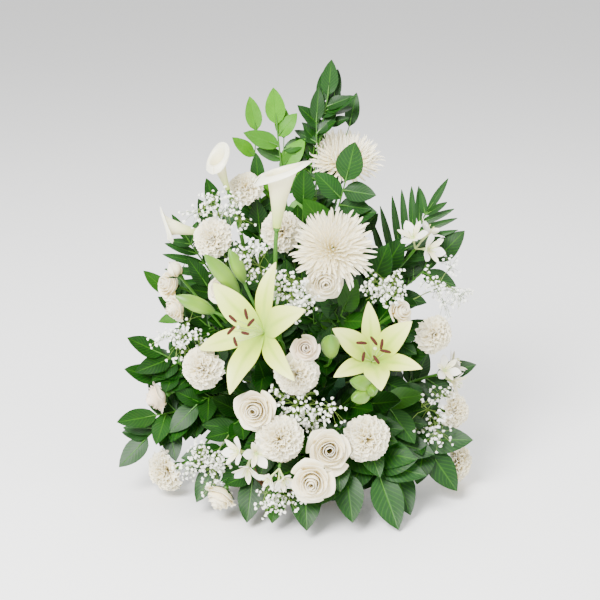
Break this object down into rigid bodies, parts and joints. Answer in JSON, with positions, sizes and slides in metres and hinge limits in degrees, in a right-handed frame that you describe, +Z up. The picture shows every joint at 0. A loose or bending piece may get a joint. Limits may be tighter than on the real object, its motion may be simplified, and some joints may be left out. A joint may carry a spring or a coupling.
{
  "type": "funeral flower arrangement",
  "caption": "One-sided fan-shaped funeral arrangement of white flowers and dark leaves in foam, in a low round wicker basket that stands on a flat surface.",
  "frame": {"origin": "middle of the basket's base, on the surface it stands on", "axes": "+Z up, -Y towards the viewer of the arrangement's face, +X to that viewer's right"},
  "size_m": [0.5321, 0.4369, 0.6293],
  "materials": {
    "wicker": "woven willow, satin",
    "liner_plastic": "moulded, dark green",
    "floral_foam": "wet floral foam, dull",
    "leaf": "waxy leaf, glossy on top",
    "gypsophila": "small papery florets",
    "lily_petal": "satin petal, pale yellow-green",
    "calla_spathe": "smooth waxy ivory",
    "bud_petal": "closed petals, pale green",
    "white_petal": "soft matte petal, cream-white"
  },
  "bodies": {
    "root": {"basket": "wicker", "liner": "liner_plastic", "foam": "floral_foam", "calla_main": "calla_spathe", "calla_left": "calla_spathe", "calla_far_left": "calla_spathe", "mum_main": "white_petal", "mum_high": "white_petal", "carnation_1": "white_petal", "carnation_2": "white_petal", "carnation_3": "white_petal", "carnation_4": "white_petal", "carnation_5": "white_petal", "carnation_6": "white_petal", "carnation_7": "white_petal", "carnation_8": "white_petal", "carnation_9": "white_petal", "carnation_10": "white_petal", "carnation_open": "white_petal", "rose_1": "white_petal", "rose_2": "white_petal", "rose_3": "white_petal", "rose_4": "white_petal", "rose_5": "white_petal", "rose_6": "white_petal", "spray_rose_1": "white_petal", "spray_rose_2": "white_petal", "spray_rose_3": "white_petal", "spray_rose_4": "white_petal", "spray_rose_5": "white_petal", "rose_bud": "bud_petal", "lily_1": "lily_petal", "lily_2": "lily_petal", "alstroemeria_1": "white_petal", "alstroemeria_2": "white_petal", "alstroemeria_3": "white_petal", "alstroemeria_4": "white_petal", "gypsophila_1": "gypsophila", "gypsophila_2": "gypsophila", "gypsophila_3": "gypsophila", "gypsophila_4": "gypsophila", "gypsophila_5": "gypsophila", "gypsophila_6": "gypsophila", "gypsophila_7": "gypsophila", "gypsophila_8": "gypsophila", "gypsophila_9": "gypsophila", "gypsophila_10": "gypsophila", "greenery_back_left": "leaf", "greenery_top": "leaf", "greenery_back_right": "leaf", "greenery_upper_left": "leaf", "greenery_centre_left": "leaf", "greenery_centre_right": "leaf", "greenery_upper_right": "leaf", "greenery_left": "leaf", "greenery_right": "leaf", "greenery_front_left": "leaf", "greenery_front": "leaf", "greenery_front_right": "leaf", "greenery_back": "leaf"}
  },
  "joints": []
}
